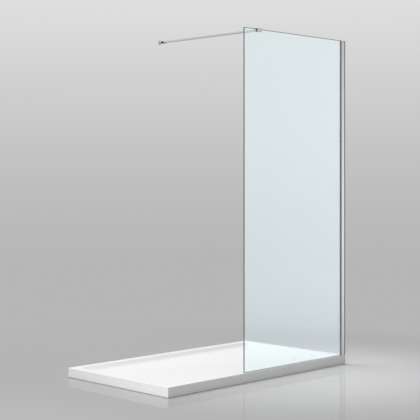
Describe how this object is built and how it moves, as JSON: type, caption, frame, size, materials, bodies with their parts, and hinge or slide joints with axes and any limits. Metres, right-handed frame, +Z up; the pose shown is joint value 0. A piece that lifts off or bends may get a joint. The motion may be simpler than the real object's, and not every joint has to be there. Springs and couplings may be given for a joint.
{
  "type": "walk-in shower screen with tray",
  "caption": "Fixed clear glass shower screen on a low rectangular tray, held by a wall profile and a swivelling support arm.",
  "frame": {"origin": "centre of the tray's underside, on the floor", "axes": "+X along the tray towards the end wall that carries the profile, +Y from the open front to the back wall, +Z up"},
  "size_m": [1.5, 0.85, 2.0135],
  "materials": {
    "tray_acrylic": "glossy white",
    "waste_plastic": "moulded grey",
    "clear_glass": "clear toughened, faintly blue-green",
    "clear_seal": "clear soft vinyl",
    "polished_aluminium": "bright polished",
    "profile_plastic": "silver moulded",
    "chrome_plate": "bright chrome",
    "screw_steel": "bright steel",
    "black_steel": "black oxide",
    "black_rubber": "soft black",
    "black_nylon": "matt black"
  },
  "bodies": {
    "tray_body": {"shower_tray": "tray_acrylic", "waste_flange": "waste_plastic", "waste_seal": "black_rubber", "wall_profile": "polished_aluminium", "wall_profile_cap": "profile_plastic", "lock_screw_covers": "profile_plastic"},
    "cover_body": {"waste_cover": "tray_acrylic", "cover_feet": "black_rubber"},
    "panel_body": {"glass_pane": "clear_glass", "bottom_seal": "clear_seal", "glass_profile": "polished_aluminium", "outer_gasket": "black_rubber", "inner_gasket": "black_rubber", "edge_blocks": "black_rubber", "lock_screws": "screw_steel", "clamp_body": "chrome_plate", "clamp_liner": "black_rubber", "clamp_plate": "screw_steel", "clamp_grub_screws": "screw_steel"},
    "arm_body": {"arm_fork": "chrome_plate", "arm_pivot_pin": "screw_steel", "arm_pivot_washers": "black_nylon", "arm_tube": "chrome_plate", "arm_grub_screw": "screw_steel"},
    "socket_body": {"wall_socket": "chrome_plate", "socket_knuckle": "black_nylon", "socket_grub_screw": "black_steel"},
    "flange_body": {"wall_flange": "chrome_plate", "wall_pivot_pin": "screw_steel", "wall_pivot_washers": "black_nylon", "flange_gasket": "black_rubber"}
  },
  "joints": [
    {"name": "panel_slide", "type": "slide", "parent": "tray_body", "child": "panel_body", "axis": [1, 0, 0], "range_m": [-0.005, 0.005]},
    {"name": "arm_swivel", "type": "hinge", "parent": "panel_body", "child": "arm_body", "pos_m": [-0.035, -0.385, 1.9995], "axis": [0, 0, 1], "range_deg": [-45, 45]},
    {"name": "socket_slide", "type": "slide", "parent": "arm_body", "child": "socket_body", "axis": [0, 1, 0], "range_m": [-0.006, 0.007]},
    {"name": "flange_swivel", "type": "hinge", "parent": "socket_body", "child": "flange_body", "pos_m": [-0.035, 0.3975, 1.9995], "axis": [0, 0, 1], "range_deg": [-45, 45]},
    {"name": "cover_lift", "type": "slide", "parent": "tray_body", "child": "cover_body", "axis": [0, 0, 1], "range_m": [0, 0.06]}
  ]
}
